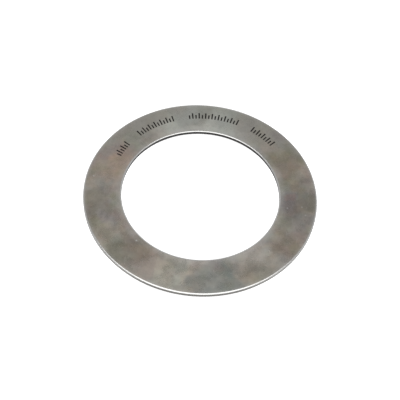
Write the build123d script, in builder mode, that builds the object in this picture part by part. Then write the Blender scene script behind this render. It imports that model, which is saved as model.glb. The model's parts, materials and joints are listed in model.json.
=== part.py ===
from build123d import *
import os
from math import cos, radians

# Thrust bearing washer: the flat, hardened steel ring that the rolling elements
# of a thrust bearing run on.  It is stamped from strip, hardened and tumbled,
# and it is one solid piece with nothing inside it and nothing that moves.
#
# Millimetres.  Z is the bearing axis.  The seat face lies on Z = 0, and the
# raceway face looks along +Z.

# Nominal sizes: the shaft the ring goes over, the housing it sits in, the strip
SHAFT_DIAMETER = 40.0
HOUSING_DIAMETER = 60.0
THICKNESS = 1.0

# The ring is a loose fit on both, by these amounts on the diameter
BORE_OVERSIZE = 0.30
RIM_UNDERSIZE = 0.30

# The punch drags the raceway side of each edge over, wider than it is deep; the
# seat side is only rounded by tumbling
ROLL_WIDTH = 0.45
ROLL_DEPTH = 0.20
EDGE_BREAK = 0.10

# Shallow etched code: four groups of radial ticks on an arc whose centre lies a
# little beyond the bearing axis, at MARK_ARC_TURN.  A group is (angle of its
# first tick, number of ticks).  Angles are in degrees from +X.
MARK_DEPTH = 0.02
MARK_ARC_RADIUS = 24.05
MARK_ARC_OFFSET = 1.75
MARK_ARC_TURN = 82.0
MARK_GROUPS = [(44.5, 9), (70.8, 16), (110.7, 13), (145.2, 6)]
TICK_LENGTH = 1.95
SHORT_TICK_LENGTH = 1.30
TICK_WIDTH = 0.38
TICK_PITCH = 1.97

bore_radius = (SHAFT_DIAMETER + BORE_OVERSIZE) / 2
rim_radius = (HOUSING_DIAMETER - RIM_UNDERSIZE) / 2


def tick_middle(angle, length):
    """Radius of the middle of a tick; all ticks start from the same arc."""
    arc_radius = MARK_ARC_RADIUS + MARK_ARC_OFFSET * cos(radians(angle - MARK_ARC_TURN))
    return arc_radius - TICK_LENGTH / 2 + length / 2


# --- The ring ---------------------------------------------------------------
with BuildPart() as bearing_washer:
    # Its section, from the raceway face over the rim to the seat face and up the bore
    with BuildSketch(Plane.XZ):
        with BuildLine():
            roll_foot = THICKNESS - ROLL_DEPTH
            Line((bore_radius + ROLL_WIDTH, THICKNESS), (rim_radius - ROLL_WIDTH, THICKNESS))
            EllipticalCenterArc((rim_radius - ROLL_WIDTH, roll_foot), ROLL_WIDTH, ROLL_DEPTH,
                                start_angle=0, arc_size=90)
            Line((rim_radius, roll_foot), (rim_radius, EDGE_BREAK))
            CenterArc((rim_radius - EDGE_BREAK, EDGE_BREAK), EDGE_BREAK, 0, -90)
            Line((rim_radius - EDGE_BREAK, 0), (bore_radius + EDGE_BREAK, 0))
            CenterArc((bore_radius + EDGE_BREAK, EDGE_BREAK), EDGE_BREAK, 270, -90)
            Line((bore_radius, EDGE_BREAK), (bore_radius, roll_foot))
            EllipticalCenterArc((bore_radius + ROLL_WIDTH, roll_foot), ROLL_WIDTH, ROLL_DEPTH,
                                start_angle=90, arc_size=90)
        make_face()
    revolve(axis=Axis.Z)

    # The etched code, cut into the raceway face
    with BuildSketch(Plane.XY.offset(THICKNESS)):
        for first_angle, ticks in MARK_GROUPS:
            for tick in range(ticks):
                angle = first_angle + tick * TICK_PITCH
                length = SHORT_TICK_LENGTH if tick % 2 else TICK_LENGTH
                with PolarLocations(tick_middle(angle, length), 1, start_angle=angle):
                    Rectangle(length, TICK_WIDTH)
    extrude(amount=-MARK_DEPTH, mode=Mode.SUBTRACT)

bearing_washer.part.label = "bearing_washer"

os.makedirs("parts", exist_ok=True)
export_step(bearing_washer.part, "parts/bearing_washer.step")

print("bearing_washer:", len(bearing_washer.part.solids()), "solid,",
      round(bearing_washer.part.volume, 2), "mm3,",
      round(bearing_washer.part.volume * 7.85e-3, 2), "g in bearing steel")
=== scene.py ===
import json
from math import atan2, cos, hypot, pi, radians, sin

import bmesh
import bpy
from bpy.props import FloatProperty, FloatVectorProperty, PointerProperty
from mathutils import Matrix, Vector


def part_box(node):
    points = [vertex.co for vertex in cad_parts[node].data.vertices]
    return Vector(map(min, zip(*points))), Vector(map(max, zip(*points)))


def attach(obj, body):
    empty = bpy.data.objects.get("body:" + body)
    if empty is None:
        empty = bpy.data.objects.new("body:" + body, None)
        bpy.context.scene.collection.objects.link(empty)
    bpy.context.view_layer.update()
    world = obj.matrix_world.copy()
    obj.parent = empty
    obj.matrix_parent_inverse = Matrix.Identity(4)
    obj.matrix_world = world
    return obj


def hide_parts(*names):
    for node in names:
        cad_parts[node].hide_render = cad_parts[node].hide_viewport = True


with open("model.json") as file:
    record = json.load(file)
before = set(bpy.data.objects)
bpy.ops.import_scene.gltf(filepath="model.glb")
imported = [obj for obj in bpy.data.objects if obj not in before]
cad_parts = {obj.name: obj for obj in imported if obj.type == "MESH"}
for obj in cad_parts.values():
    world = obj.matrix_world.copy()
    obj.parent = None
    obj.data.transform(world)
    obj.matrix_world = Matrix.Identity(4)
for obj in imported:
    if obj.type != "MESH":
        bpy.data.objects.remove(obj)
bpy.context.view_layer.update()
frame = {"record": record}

bl_info = {
    "name": "Thrust bearing washer",
    "version": (1, 0, 0),
    "blender": (4, 5, 0),
    "location": "3D View > Sidebar > Washer",
    "description": "Builds a stamped steel thrust bearing washer and the stage it lies on",
    "category": "Add Mesh",
}

# The frame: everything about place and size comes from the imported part.
SEAT_CORNER, RACEWAY_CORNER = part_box("bearing_washer")
MOUNTS = {mount["name"]: mount for mount in frame["record"]["mounts"]}

MM = 0.001
THICKNESS = RACEWAY_CORNER.z - SEAT_CORNER.z
BORE_RADIUS = MOUNTS["bore"]["dims"]["r_mm"] * MM
RIM_RADIUS = MOUNTS["rim"]["dims"]["r_mm"] * MM

# The etched code: four groups of radial ticks on an arc whose centre lies a little
# beyond the bearing axis, at MARK_ARC_TURN.  A group is (angle of its first tick in
# degrees, number of ticks), and every second tick is a row shorter.
MARK_GROUPS = [(44.5, 9), (70.8, 16), (110.7, 13), (145.2, 6)]
MARK_ARC_RADIUS = 24.05 * MM
MARK_ARC_OFFSET = 1.75 * MM
MARK_ARC_TURN = radians(82.0)
TICK_ROW = 0.65 * MM
ROWS = 3

# Steps of the full turn that the ring is spun in, and what a tick takes of them
STEPS = 1280
STEP_ANGLE = 2 * pi / STEPS
TICK_STEPS = 3
TICK_PITCH_STEPS = 7

# Segments across a rolled edge and across a broken one, and the height of a circle
# round each wall, which keeps the smooth shading of the wall flat
ROLL_SEGMENTS = 12
BREAK_SEGMENTS = 4
WALL_CIRCLE = 0.38 * MM

# Points closer than this are the same point
SAME_POINT = 0.001 * MM


# --- Sizes and colours that a user would change --------------------------------


class WasherShape(bpy.types.PropertyGroup):
    roll_width: FloatProperty(
        name="Roll width", description="Width of the drawn-over edges on the raceway side",
        default=0.45 * MM, unit="LENGTH", precision=5)
    roll_depth: FloatProperty(
        name="Roll depth", description="Depth of the drawn-over edges on the raceway side",
        default=0.20 * MM, unit="LENGTH", precision=5)
    edge_break: FloatProperty(
        name="Edge break", description="Radius that tumbling leaves on the seat side's edges",
        default=0.10 * MM, unit="LENGTH", precision=5)
    mark_depth: FloatProperty(
        name="Mark depth", description="Depth of the etched code",
        default=0.02 * MM, unit="LENGTH", precision=5)


class WasherFinish(bpy.types.PropertyGroup):
    steel: FloatVectorProperty(
        name="Steel", description="Colour of the satin faces",
        default=(0.48, 0.465, 0.42), subtype="COLOR", min=0.0, max=1.0)
    edge: FloatVectorProperty(
        name="Edge", description="Colour of the edges that tumbling has polished",
        default=(0.78, 0.775, 0.76), subtype="COLOR", min=0.0, max=1.0)
    # Rim wall: dull sheared steel, darkened further with painted shade, the washer's contact shadow
    # and the shaded floor that the wall mirrors
    shaded_rim_wall: FloatVectorProperty(
        name="Rim wall", description="Colour of the sheared wall round the outside",
        default=(0.19, 0.185, 0.175), subtype="COLOR", min=0.0, max=1.0)
    # Bore wall: dull sheared steel, painted much darker than the rim wall as shade inside the bore
    shaded_bore_wall: FloatVectorProperty(
        name="Bore wall", description="Colour of the sheared wall in the bore",
        default=(0.045, 0.044, 0.043), subtype="COLOR", min=0.0, max=1.0)
    etch: FloatVectorProperty(
        name="Etch", description="Colour of the etched code",
        default=(0.012, 0.010, 0.009), subtype="COLOR", min=0.0, max=1.0)
    face_roughness: FloatProperty(
        name="Face roughness", description="Roughness of the satin faces",
        default=0.30, min=0.0, max=1.0)
    edge_roughness: FloatProperty(
        name="Edge roughness", description="Roughness of the polished edges",
        default=0.20, min=0.0, max=1.0)


class WasherStage(bpy.types.PropertyGroup):
    elevation: FloatProperty(
        name="Elevation", description="Height of the camera above the floor, as an angle",
        default=radians(53.9), subtype="ANGLE")
    tilt: FloatProperty(
        name="Tilt", description="How far the camera is rolled about its own axis",
        default=radians(4.37), subtype="ANGLE")
    distance: FloatProperty(
        name="Distance", description="From the camera to the bearing axis on the floor",
        default=0.2222, unit="LENGTH")
    aim: FloatProperty(
        name="Aim", description="How far in front of the bearing axis the camera looks",
        default=1.73 * MM, unit="LENGTH")
    lens: FloatProperty(
        name="Lens", description="Focal length on a 36 mm sensor, in millimetres",
        default=78.1, min=1.0)
    softbox: FloatProperty(
        name="Softbox", description="Brightness of the lamp overhead",
        default=1.30, min=0.0)
    room_light: FloatProperty(
        name="Room light", description="Brightness of the plain room all round",
        default=0.42, min=0.0)


# --- Helpers for shader nodes ---------------------------------------------------


def node(tree, kind, inputs=None, **settings):
    """Adds a node; an input is linked when it is given a socket, and set when it isn't."""
    made = tree.nodes.new(kind)
    for name, value in settings.items():
        setattr(made, name, value)
    for key, value in (inputs or {}).items():
        if isinstance(value, bpy.types.NodeSocket):
            tree.links.new(value, made.inputs[key])
        else:
            made.inputs[key].default_value = value
    return made


def maths(tree, operation, first, second=0.0):
    return node(tree, "ShaderNodeMath", {0: first, 1: second}, operation=operation).outputs[0]


def fade(tree, value, start, end, low=0.0, high=1.0):
    """low where value is at start, high where it is at end, and smooth in between."""
    inputs = {"Value": value, "From Min": start, "From Max": end, "To Min": low, "To Max": high}
    return node(tree, "ShaderNodeMapRange", inputs, interpolation_type="SMOOTHSTEP").outputs[0]


def blend(tree, factor, first, second, how="MIX"):
    """Mixes two colours, which a Mix node takes in its sockets 6 and 7."""
    inputs = {0: factor, 6: first, 7: second}
    return node(tree, "ShaderNodeMix", inputs, data_type="RGBA", blend_type=how).outputs[2]


def opaque(colour):
    return (*colour, 1.0)


def blotches(tree, place, size, detail=3.0, roughness=0.5):
    """Soft noise with blotches of about this size."""
    inputs = {"Vector": place, "Scale": 1.0 / size, "Detail": detail, "Roughness": roughness}
    return node(tree, "ShaderNodeTexNoise", inputs).outputs["Fac"]


def start_material(name):
    material = bpy.data.materials.new(name)
    material.use_nodes = True
    tree = material.node_tree
    shader = tree.nodes["Principled BSDF"]
    place = node(tree, "ShaderNodeTexCoord").outputs["Object"]
    return material, tree, shader, place


# --- Materials -------------------------------------------------------------------

# Soft mottles all over the faces: (size in millimetres, seed, noise levels where
# a mottle starts and is full, tint that multiplies the steel's colour)
MOTTLES = [
    (8.0, 0.11, 0.42, 0.58, (1.07, 1.00, 0.95)),
    (6.0, 0.23, 0.45, 0.60, (0.93, 0.96, 0.89)),
    (6.5, 0.37, 0.47, 0.62, (0.95, 0.93, 0.97)),
    (3.5, 0.43, 0.48, 0.60, (1.03, 0.99, 0.97)),
    (1.8, 0.51, 0.45, 0.65, (1.06, 1.05, 1.05)),
    (1.2, 0.67, 0.45, 0.65, (0.94, 0.94, 0.94)),
    (0.5, 0.83, 0.45, 0.65, (0.94, 0.94, 0.94)),
]

# Larger stains: (angle in degrees, radius, reach and reach of the full stain in
# millimetres, tint)
STAINS = [
    (63.0, 22.0, 5.0, 2.0, (1.14, 1.15, 1.16)),
    (90.0, 24.0, 15.0, 5.0, (1.15, 1.21, 1.24)),
    (92.0, 22.0, 4.5, 2.0, (1.16, 1.16, 1.17)),
    (90.0, 28.0, 3.5, 1.5, (0.88, 0.88, 0.86)),
    (82.0, 21.5, 6.5, 2.0, (1.22, 1.24, 1.23)),
    (114.0, 21.5, 7.5, 2.5, (1.30, 1.30, 1.31)),
    (162.0, 25.0, 8.0, 3.0, (1.14, 1.02, 0.98)),
    (192.0, 28.0, 6.0, 3.0, (0.82, 0.78, 0.73)),
    (201.0, 23.5, 4.5, 2.0, (0.91, 0.88, 0.93)),
    (231.0, 25.0, 6.0, 3.0, (0.77, 0.75, 0.71)),
    (243.0, 26.0, 5.0, 2.5, (0.99, 0.93, 0.93)),
    (259.0, 24.5, 5.5, 3.8, (1.18, 1.20, 1.16)),
    (272.0, 21.8, 3.5, 1.5, (1.16, 1.10, 1.10)),
    (281.5, 26.0, 7.0, 4.8, (0.80, 0.85, 0.88)),
    (286.0, 21.5, 4.5, 2.0, (1.10, 1.03, 1.02)),
    (290.0, 28.5, 3.5, 1.5, (0.88, 0.91, 0.93)),
    (305.0, 28.5, 6.0, 2.0, (0.88, 0.86, 0.81)),
    (311.0, 22.5, 6.0, 2.5, (1.16, 1.18, 1.22)),
    (318.0, 24.5, 3.5, 1.5, (1.08, 1.10, 1.12)),
    (333.0, 26.5, 8.0, 2.5, (0.84, 0.79, 0.76)),
    (333.0, 21.8, 4.5, 1.5, (1.19, 1.22, 1.30)),
    (351.0, 23.0, 4.0, 1.5, (0.96, 0.93, 0.91)),
    (352.0, 22.0, 1.4, 0.6, (0.78, 0.76, 0.79)),
    (359.0, 26.5, 8.0, 3.0, (0.71, 0.71, 0.75)),
    (3.0, 23.0, 2.2, 1.2, (1.10, 0.97, 0.93)),
    (26.0, 25.0, 6.0, 3.0, (0.84, 0.83, 0.78)),
    (46.0, 28.3, 4.0, 1.5, (0.90, 0.87, 0.90)),
]

# Small nicks in the faces, whose brightness is a painted glint: (angle in degrees, radius in
# millimetres, strength), and the reach of each and of its brightest part in millimetres
GLINTING_NICKS = [
    (227.5, 21.8, 0.8),
    (174.5, 27.8, 0.5),
    (350.0, 27.2, 0.3),
    (355.0, 26.0, 0.3),
    (352.5, 22.4, 0.4),
]
NICK_REACH = 0.36
NICK_FULL = 0.06

# Mottles larger than this, in millimetres, are fainter at the back and at the front:
# (Y where they are faintest, Y where they are full, how faint)
LARGE_MOTTLE = 1.5
FAINT_BACK = (21.0 * MM, 13.0 * MM, 0.3)
FAINT_FRONT = (-22.0 * MM, -14.0 * MM, 0.6)

# The edges of stains are pushed about by noise of this strength and scale
STAIN_PUSH = 14.0 * MM
STAIN_PUSH_SCALE = 130.0

# Sets of fine scratches: (direction in radians, scale of their noise across them,
# share of that scale along them).  Each set is shifted by its direction times
# SCRATCH_SHIFT, and a scratch starts and is full at the levels of noise given last.
SCRATCHES = [(0.5, 2600.0, 0.14), (1.3, 3100.0, 0.11), (2.2, 2300.0, 0.16), (2.9, 2800.0, 0.10)]
SCRATCH_STRENGTH = 0.10
SCRATCH_SHIFT = Vector((17.3, 5.1, 0.0))
SCRATCH_START = 0.70
SCRATCH_FULL = 0.76

# Bands that tumbling rubs lighter beside the bore and the rim: how far they reach
# over the face, where they are full, and how strong they are
BORE_RUB_REACH = 2.2 * MM
RIM_RUB_REACH = 1.4 * MM
RUB_FULL = 0.4 * MM
BORE_RUB = 0.24
RIM_RUB = 0.16

# Share of a roll's depth that is polished; the dull wall, with its painted shade, starts below it
ROLL_POLISHED = 0.7
WALL_ROUGHNESS = 0.5

# How far from the bore a wall still has the bore wall's colour and its deeper painted shade, wholly
# and at all
BORE_SHADE_FULL = 1.0 * MM
BORE_SHADE_REACH = 2.0 * MM

# Clouds on the faces: their size, and the roughness that they add or take away
CLOUD_SIZE = 3.0 * MM
CLOUD_ROUGHNESS = 0.06

# The grain of the satin and of the etch: its size on the satin, and its height on both
GRAIN_SIZE = 0.12 * MM
GRAIN_HEIGHT = 0.01 * MM

# Patches in the etch: their size, and how many times lighter than the etch they are
ETCH_PATCH = 0.4 * MM
ETCH_PATCH_LIGHTER = 2.0


def shifted_noise(tree, place, size, seed):
    """Soft noise that differs from seed to seed."""
    inputs = {"Vector": place, "Location": (seed, 2.0 * seed, 0.0)}
    there = node(tree, "ShaderNodeMapping", inputs).outputs[0]
    return blotches(tree, there, size * MM, detail=2.5, roughness=0.5)


def ragged(tree, place):
    """The place, pushed about so that the edges of stains are ragged."""
    inputs = {"Vector": place, "Scale": STAIN_PUSH_SCALE, "Detail": 3.0, "Roughness": 0.5}
    rough = node(tree, "ShaderNodeTexNoise", inputs).outputs["Color"]
    middle = (0.5, 0.5, 0.5)
    either_way = node(tree, "ShaderNodeVectorMath", {0: rough, 1: middle}, operation="SUBTRACT")
    inputs = {0: either_way.outputs[0], "Scale": STAIN_PUSH}
    push = node(tree, "ShaderNodeVectorMath", inputs, operation="SCALE")
    return node(tree, "ShaderNodeVectorMath", {0: place, 1: push.outputs[0]}).outputs[0]


def spot(tree, place, angle, radius, reach, full):
    """1 near a point of the raceway face, and 0 beyond its reach."""
    turn = radians(angle)
    centre = (radius * MM * cos(turn), radius * MM * sin(turn), THICKNESS)
    away = node(tree, "ShaderNodeVectorMath", {0: place, 1: centre}, operation="DISTANCE")
    return fade(tree, away.outputs["Value"], reach * MM, full * MM)


def stained_steel(tree, place, steel):
    """The satin steel's colour: brown, olive and violet mottles, and some larger stains."""
    colour = opaque(steel)
    depth = node(tree, "ShaderNodeSeparateXYZ", {0: place}).outputs["Y"]
    at_back = fade(tree, depth, *FAINT_BACK)
    at_front = fade(tree, depth, *FAINT_FRONT)
    mottled = maths(tree, "MULTIPLY", at_back, at_front)
    for size, seed, start, full, tint in MOTTLES:
        amount = fade(tree, shifted_noise(tree, place, size, seed), start, full)
        if size > LARGE_MOTTLE:
            amount = maths(tree, "MULTIPLY", amount, mottled)
        colour = blend(tree, amount, colour, opaque(tint), "MULTIPLY")
    warped = ragged(tree, place)
    for angle, radius, reach, full, tint in STAINS:
        amount = spot(tree, warped, angle, radius, reach, full)
        colour = blend(tree, amount, colour, opaque(tint), "MULTIPLY")
    return colour


def scratches(tree, place):
    """Fine short scratches in a few directions: 1 on a scratch, 0 between them."""
    lines = 0.0
    for turn, density, stretch in SCRATCHES:
        inputs = {
            "Vector": place,
            "Location": SCRATCH_SHIFT * turn,
            "Rotation": (0.0, 0.0, turn),
            "Scale": (density, density * stretch, density),
        }
        stretched = node(tree, "ShaderNodeMapping", inputs).outputs[0]
        inputs = {"Vector": stretched, "Scale": 1.0, "Detail": 1.0}
        streaks = node(tree, "ShaderNodeTexNoise", inputs).outputs["Fac"]
        scratch = fade(tree, streaks, SCRATCH_START, SCRATCH_FULL)
        lines = maths(tree, "MAXIMUM", scratch, lines)
    return lines


def distance_from_axis(tree, place):
    """How far the place is from the bearing axis."""
    split = node(tree, "ShaderNodeSeparateXYZ", {0: place})
    inputs = {"X": split.outputs["X"], "Y": split.outputs["Y"]}
    flat = node(tree, "ShaderNodeCombineXYZ", inputs).outputs[0]
    return node(tree, "ShaderNodeVectorMath", {0: flat}, operation="LENGTH").outputs["Value"]


def edge_zone(tree, height):
    """1 everywhere but on the two flat faces."""
    soft = 0.01 * MM
    below_face = fade(tree, height, THICKNESS, THICKNESS - soft)
    above_seat = fade(tree, height, 0.0, soft)
    return maths(tree, "MULTIPLY", below_face, above_seat)


def wall_zone(tree, height, shape):
    """1 on the sheared walls, between the rolled edges and the broken ones, which take the walls'
    colour with its painted shade.
    """
    soft = 0.03 * MM
    wall_top = THICKNESS - ROLL_POLISHED * shape.roll_depth
    below_roll = fade(tree, height, wall_top + soft, wall_top - soft)
    above_break = fade(tree, height, 0.2 * shape.edge_break, 0.5 * shape.edge_break)
    return maths(tree, "MULTIPLY", below_roll, above_break)


def rubbed_bands(tree, radius):
    """How much lighter tumbling has rubbed the faces, beside the bore and the rim."""
    near_bore = fade(tree, radius, BORE_RADIUS + BORE_RUB_REACH, BORE_RADIUS + RUB_FULL)
    near_rim = fade(tree, radius, RIM_RADIUS - RIM_RUB_REACH, RIM_RADIUS - RUB_FULL)
    at_bore = maths(tree, "MULTIPLY", near_bore, BORE_RUB)
    at_rim = maths(tree, "MULTIPLY", near_rim, RIM_RUB)
    return maths(tree, "ADD", at_bore, at_rim)


def bearing_steel(finish, shape):
    """Hardened steel: satin faces, polished rolled edges and dull sheared walls with painted shade."""
    material, tree, shader, place = start_material("bearing_steel")
    height = node(tree, "ShaderNodeSeparateXYZ", {0: place}).outputs["Z"]
    radius = distance_from_axis(tree, place)
    edge = edge_zone(tree, height)
    wall = wall_zone(tree, height, shape)
    bore_shade_side = fade(tree, radius, BORE_RADIUS + BORE_SHADE_REACH, BORE_RADIUS + BORE_SHADE_FULL)
    bright = opaque(finish.edge)

    lines = scratches(tree, place)
    colour = stained_steel(tree, place, finish.steel)
    colour = blend(tree, rubbed_bands(tree, radius), colour, bright)
    colour = blend(tree, maths(tree, "MULTIPLY", lines, SCRATCH_STRENGTH), colour, bright)
    # Painted glints on small nicks
    for angle, along, strength in GLINTING_NICKS:
        nick_glint = spot(tree, place, angle, along, NICK_REACH, NICK_FULL)
        colour = blend(tree, maths(tree, "MULTIPLY", nick_glint, strength), colour, bright)
    colour = blend(tree, edge, colour, bright)
    # The walls' colour: dull sheared steel with painted shade, darkest in the bore
    sheared = blend(tree, bore_shade_side, opaque(finish.shaded_rim_wall), opaque(finish.shaded_bore_wall))
    colour = blend(tree, wall, colour, sheared)
    tree.links.new(colour, shader.inputs["Base Color"])

    cloud = blotches(tree, place, CLOUD_SIZE, detail=4.0)
    glossiest = finish.face_roughness - CLOUD_ROUGHNESS
    dullest = finish.face_roughness + CLOUD_ROUGHNESS
    rough = fade(tree, cloud, 0.3, 0.7, glossiest, dullest)
    rough = fade(tree, edge, 0.0, 1.0, rough, finish.edge_roughness)
    rough = fade(tree, wall, 0.0, 1.0, rough, WALL_ROUGHNESS)
    tree.links.new(rough, shader.inputs["Roughness"])

    grain = maths(tree, "MULTIPLY", blotches(tree, place, GRAIN_SIZE, detail=2.0), 0.5)
    relief = maths(tree, "SUBTRACT", grain, lines)
    inputs = {"Height": relief, "Strength": 0.12, "Distance": GRAIN_HEIGHT}
    bump = node(tree, "ShaderNodeBump", inputs)
    tree.links.new(bump.outputs[0], shader.inputs["Normal"])
    shader.inputs["Metallic"].default_value = 1.0
    return material


def etched_code(finish):
    """The floor of the etched code: dark, matt and a little uneven."""
    material, tree, shader, place = start_material("etched_code")
    patchy = blotches(tree, place, ETCH_PATCH)
    lighter = tuple(ETCH_PATCH_LIGHTER * channel for channel in finish.etch)
    colour = blend(tree, fade(tree, patchy, 0.35, 0.75), opaque(finish.etch), opaque(lighter))
    tree.links.new(colour, shader.inputs["Base Color"])
    tree.links.new(fade(tree, patchy, 0.3, 0.7, 0.5, 0.75), shader.inputs["Roughness"])
    bump = node(tree, "ShaderNodeBump", {"Height": patchy, "Strength": 0.4, "Distance": GRAIN_HEIGHT})
    tree.links.new(bump.outputs[0], shader.inputs["Normal"])
    shader.inputs["Metallic"].default_value = 0.3
    shader.inputs["Specular IOR Level"].default_value = 0.3
    return material


# --- The ring ----------------------------------------------------------------------


def mark_arc(angle):
    """Radius of the middle of the code's band; it is constant on the side away from the code."""
    return MARK_ARC_RADIUS + MARK_ARC_OFFSET * max(0.0, cos(angle - MARK_ARC_TURN))


def etched_cells():
    """The (step of the turn, row) of every patch of face that the code takes away."""
    cells = set()
    for first_angle, ticks in MARK_GROUPS:
        first_step = round(radians(first_angle) / STEP_ANGLE - TICK_STEPS / 2)
        for tick in range(ticks):
            first = first_step + tick * TICK_PITCH_STEPS
            rows = range(ROWS - tick % 2)
            cells.update((step, row) for step in range(first, first + TICK_STEPS) for row in rows)
    return cells


def cell_of(face):
    """The (step, row) of the code's grid that a patch of face lies in."""
    middle = face.calc_center_median()
    angle = atan2(middle.y, middle.x)
    step = int(angle / STEP_ANGLE) if angle > 0 else -1
    row = (hypot(middle.x, middle.y) - mark_arc(angle)) / TICK_ROW + ROWS / 2
    return step, int(row) if row > 0 else -1


def circles_at(bm, radius, height):
    """The edges that run round the ring at this radius and height."""
    def on_circle(vert):
        off_radius = abs(hypot(vert.co.x, vert.co.y) - radius)
        return abs(vert.co.z - height) < SAME_POINT and off_radius < SAME_POINT
    return [edge for edge in bm.edges if on_circle(edge.verts[0]) and on_circle(edge.verts[1])]


def spin_section(bm):
    """Spins the square section into a ring, with circles for the code and one round each wall."""
    code_circles = [MARK_ARC_RADIUS + (row - ROWS / 2) * TICK_ROW for row in range(ROWS + 1)]
    section = [
        (BORE_RADIUS, WALL_CIRCLE),
        (BORE_RADIUS, 0.0),
        (RIM_RADIUS, 0.0),
        (RIM_RADIUS, WALL_CIRCLE),
        (RIM_RADIUS, THICKNESS),
        *((radius, THICKNESS) for radius in reversed(code_circles)),
        (BORE_RADIUS, THICKNESS),
    ]
    verts = [bm.verts.new((radius, 0.0, height)) for radius, height in section]
    edges = [bm.edges.new((vert, verts[index - 1])) for index, vert in enumerate(verts)]
    bmesh.ops.spin(bm, geom=verts + edges, cent=(0, 0, 0), axis=(0, 0, 1),
                   angle=2 * pi, steps=STEPS, use_merge=True)


def bend_code(bm):
    """Moves the code's circles onto its arc."""
    half_height = TICK_ROW * ROWS / 2 + SAME_POINT
    for vert in bm.verts:
        radius = hypot(vert.co.x, vert.co.y)
        if vert.co.z > THICKNESS / 2 and abs(radius - MARK_ARC_RADIUS) < half_height:
            angle = atan2(vert.co.y, vert.co.x)
            moved = radius + mark_arc(angle) - MARK_ARC_RADIUS
            vert.co.x, vert.co.y = moved * cos(angle), moved * sin(angle)


def sink_code(bm, depth):
    """Sinks the ticks, and gives their floors and sides the etched material."""
    cells = etched_cells()
    top = [face for face in bm.faces if face.calc_center_median().z > THICKNESS - SAME_POINT]
    ticks = [face for face in top if cell_of(face) in cells]
    sunk = bmesh.ops.extrude_face_region(bm, geom=ticks)["geom"]
    bmesh.ops.delete(bm, geom=ticks, context="FACES")
    floors = [part for part in sunk if isinstance(part, bmesh.types.BMFace)]
    corners = [part for part in sunk if isinstance(part, bmesh.types.BMVert)]
    bmesh.ops.translate(bm, verts=corners, vec=(0.0, 0.0, -depth))
    for floor in floors:
        floor.material_index = 1
        for edge in floor.edges:
            for face in edge.link_faces:
                if face not in floors and abs(face.normal.z) < 0.5:
                    face.material_index = 1


def near_edge(vert, shape):
    """Whether a point is on one of the two rolled edges, seen from above."""
    radius = hypot(vert.co.x, vert.co.y)
    return min(radius - BORE_RADIUS, RIM_RADIUS - radius) < shape.roll_width - SAME_POINT


def round_edges(bm, shape):
    """Rolls over the two raceway-side edges and breaks the two seat-side ones."""
    rolled = (THICKNESS, shape.roll_width, ROLL_SEGMENTS)
    broken = (0.0, shape.edge_break, BREAK_SEGMENTS)
    for height, size, segments in (rolled, broken):
        for radius in (RIM_RADIUS, BORE_RADIUS):
            bmesh.ops.bevel(bm, geom=circles_at(bm, radius, height), offset=size, offset_type="OFFSET",
                            affect="EDGES", segments=segments, profile=0.5, material=-1)
    # A rolled edge is wider than it is deep
    for vert in bm.verts:
        drop = THICKNESS - vert.co.z
        if drop < shape.roll_width + SAME_POINT and near_edge(vert, shape):
            vert.co.z = THICKNESS - drop * shape.roll_depth / shape.roll_width


def make_ring(shape):
    bm = bmesh.new()
    spin_section(bm)
    bend_code(bm)
    sink_code(bm, shape.mark_depth)
    round_edges(bm, shape)
    bmesh.ops.remove_doubles(bm, verts=bm.verts, dist=SAME_POINT)
    bmesh.ops.recalc_face_normals(bm, faces=bm.faces)
    for face in bm.faces:
        is_flat = abs(face.normal.z) > 0.9999
        face.smooth = face.material_index == 0 and not is_flat
    mesh = bpy.data.meshes.new("washer_ring")
    bm.to_mesh(mesh)
    bm.free()
    ring = bpy.data.objects.new("washer_ring", mesh)
    bpy.context.scene.collection.objects.link(ring)
    return ring


class WASHER_OT_ring(bpy.types.Operator):
    """Builds the washer itself, with its rolled edges and its etched code"""
    bl_idname = "washer.ring"
    bl_label = "Washer ring"

    def execute(self, context):
        scene = context.scene
        ring = make_ring(scene.washer_shape)
        ring.data.materials.append(bearing_steel(scene.washer_finish, scene.washer_shape))
        ring.data.materials.append(etched_code(scene.washer_finish))
        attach(ring, "root")
        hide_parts("bearing_washer")
        return {"FINISHED"}


# --- The stage -----------------------------------------------------------------------

WHITE = (1.0, 1.0, 1.0)

# The floor: half its width, how strongly it glows, and how sharp the washer's painted shadow is
FLOOR_REACH = 6.0
LOW_GLOW = 0.56
FULL_GLOW = 1.1
GLOW_BENEATH = 0.25
SHADOW_EDGE = 0.3 * MM

# The room is brighter near the horizon than overhead: the heights between which that
# changes, as the sine of the angle above the horizon, and the two shares of its light
ROOM_LOW = 0.65
ROOM_HIGH = 0.95
HORIZON_SHARE = 1.25
OVERHEAD_SHARE = 0.8

# The softbox: its size, its height, and how far in front of the washer it hangs
SOFTBOX_WIDTH = 0.60
SOFTBOX_LENGTH = 0.65
SOFTBOX_HEIGHT = 0.60
SOFTBOX_FORWARD = 0.125


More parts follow.
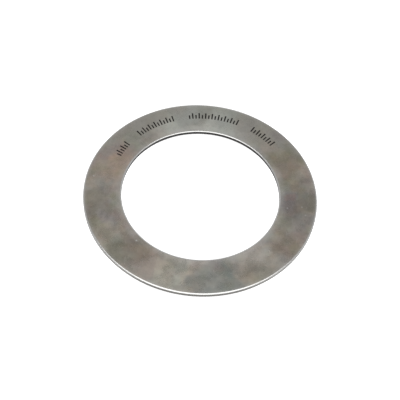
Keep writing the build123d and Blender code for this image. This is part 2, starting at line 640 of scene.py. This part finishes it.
def white_floor():
    """An overexposed white floor, whose glow also paints shade in front of the washer and behind it,
    and a shadow under it.
    """
    material, tree, shader, place = start_material("white_floor")
    shader.inputs["Base Color"].default_value = (0.9, 0.9, 0.9, 1.0)
    shader.inputs["Roughness"].default_value = 0.9
    shader.inputs["Emission Color"].default_value = opaque(WHITE)

    # It glows less just in front of the washer and behind it, painted shade which the washer's walls
    # show
    split = node(tree, "ShaderNodeSeparateXYZ", {0: place})
    aside = fade(tree, maths(tree, "ABSOLUTE", split.outputs["X"]), 8.0 * MM, 22.0 * MM)
    radius = distance_from_axis(tree, place)
    far_off = fade(tree, radius, 60.0 * MM, 100.0 * MM)
    glow = fade(tree, maths(tree, "MAXIMUM", aside, far_off), 0.0, 1.0, LOW_GLOW, FULL_GLOW)

    # Painted shadow: it glows much less under the washer, where hardly any light reaches it
    outside_bore = fade(tree, radius, BORE_RADIUS, BORE_RADIUS + SHADOW_EDGE)
    inside_rim = fade(tree, radius, RIM_RADIUS, RIM_RADIUS - SHADOW_EDGE)
    shadow_under_washer = maths(tree, "MULTIPLY", outside_bore, inside_rim)
    glow = fade(tree, shadow_under_washer, 0.0, 1.0, glow, GLOW_BENEATH)
    tree.links.new(glow, shader.inputs["Emission Strength"])
    return material


def make_floor():
    bm = bmesh.new()
    bmesh.ops.create_grid(bm, x_segments=1, y_segments=1, size=FLOOR_REACH)
    mesh = bpy.data.meshes.new("floor")
    bm.to_mesh(mesh)
    bm.free()
    mesh.materials.append(white_floor())
    floor = bpy.data.objects.new("floor", mesh)
    bpy.context.scene.collection.objects.link(floor)


def make_room(stage):
    """A plain pale room, a little brighter towards the horizon."""
    world = bpy.data.worlds.new("studio")
    world.use_nodes = True
    tree = world.node_tree
    direction = node(tree, "ShaderNodeTexCoord").outputs["Generated"]
    inputs = {
        "Value": node(tree, "ShaderNodeSeparateXYZ", {0: direction}).outputs["Z"],
        "From Min": ROOM_LOW,
        "From Max": ROOM_HIGH,
        "To Min": HORIZON_SHARE * stage.room_light,
        "To Max": OVERHEAD_SHARE * stage.room_light,
    }
    light = node(tree, "ShaderNodeMapRange", inputs)
    background = tree.nodes["Background"]
    background.inputs["Color"].default_value = opaque(WHITE)
    tree.links.new(light.outputs[0], background.inputs["Strength"])
    bpy.context.scene.world = world


def make_softbox(stage):
    """One large soft lamp overhead, a little to the front."""
    light = bpy.data.lights.new("softbox", "AREA")
    light.shape = "RECTANGLE"
    light.size = SOFTBOX_WIDTH
    light.size_y = SOFTBOX_LENGTH
    light.energy = stage.softbox * pi * SOFTBOX_WIDTH * SOFTBOX_LENGTH
    lamp = bpy.data.objects.new("softbox", light)
    lamp.location = (0.0, -SOFTBOX_FORWARD, SOFTBOX_HEIGHT)
    lamp.visible_camera = False
    bpy.context.scene.collection.objects.link(lamp)


def make_camera(stage):
    data = bpy.data.cameras.new("camera")
    data.lens = stage.lens
    data.sensor_width = 36.0
    data.clip_start = 0.01
    data.clip_end = 50.0
    camera = bpy.data.objects.new("camera", data)
    place = Vector((0.0, -cos(stage.elevation), sin(stage.elevation))) * stage.distance
    target = Vector((0.0, -stage.aim, 0.0))
    looking = (target - place).to_track_quat("-Z", "Y").to_matrix().to_4x4()
    camera.matrix_world = Matrix.Translation(place) @ looking @ Matrix.Rotation(stage.tilt, 4, "Z")
    bpy.context.scene.collection.objects.link(camera)
    bpy.context.scene.camera = camera


class WASHER_OT_stage(bpy.types.Operator):
    """Sets the pale floor, the soft light and the camera"""
    bl_idname = "washer.stage"
    bl_label = "Stage"

    def execute(self, context):
        stage = context.scene.washer_stage
        make_floor()
        make_room(stage)
        make_softbox(stage)
        make_camera(stage)
        context.scene.view_settings.view_transform = "Standard"
        return {"FINISHED"}


# --- The add-on ----------------------------------------------------------------------


class WASHER_PT_panel(bpy.types.Panel):
    bl_idname = "WASHER_PT_panel"
    bl_label = "Thrust bearing washer"
    bl_space_type = "VIEW_3D"
    bl_region_type = "UI"
    bl_category = "Washer"

    def draw(self, context):
        for operator in OPERATORS:
            self.layout.operator(operator.bl_idname)
        scene = context.scene
        for group in (scene.washer_shape, scene.washer_finish, scene.washer_stage):
            box = self.layout.box()
            for name in group.__annotations__:
                box.prop(group, name)


OPERATORS = (WASHER_OT_stage, WASHER_OT_ring)
CLASSES = (WasherShape, WasherFinish, WasherStage, *OPERATORS, WASHER_PT_panel)


def register():
    for cls in CLASSES:
        bpy.utils.register_class(cls)
    bpy.types.Scene.washer_shape = PointerProperty(type=WasherShape)
    bpy.types.Scene.washer_finish = PointerProperty(type=WasherFinish)
    bpy.types.Scene.washer_stage = PointerProperty(type=WasherStage)


def unregister():
    del bpy.types.Scene.washer_stage
    del bpy.types.Scene.washer_finish
    del bpy.types.Scene.washer_shape
    for cls in reversed(CLASSES):
        bpy.utils.unregister_class(cls)


def main():
    register()
    bpy.ops.washer.stage()
    bpy.ops.washer.ring()


if __name__ == "__main__":
    main()
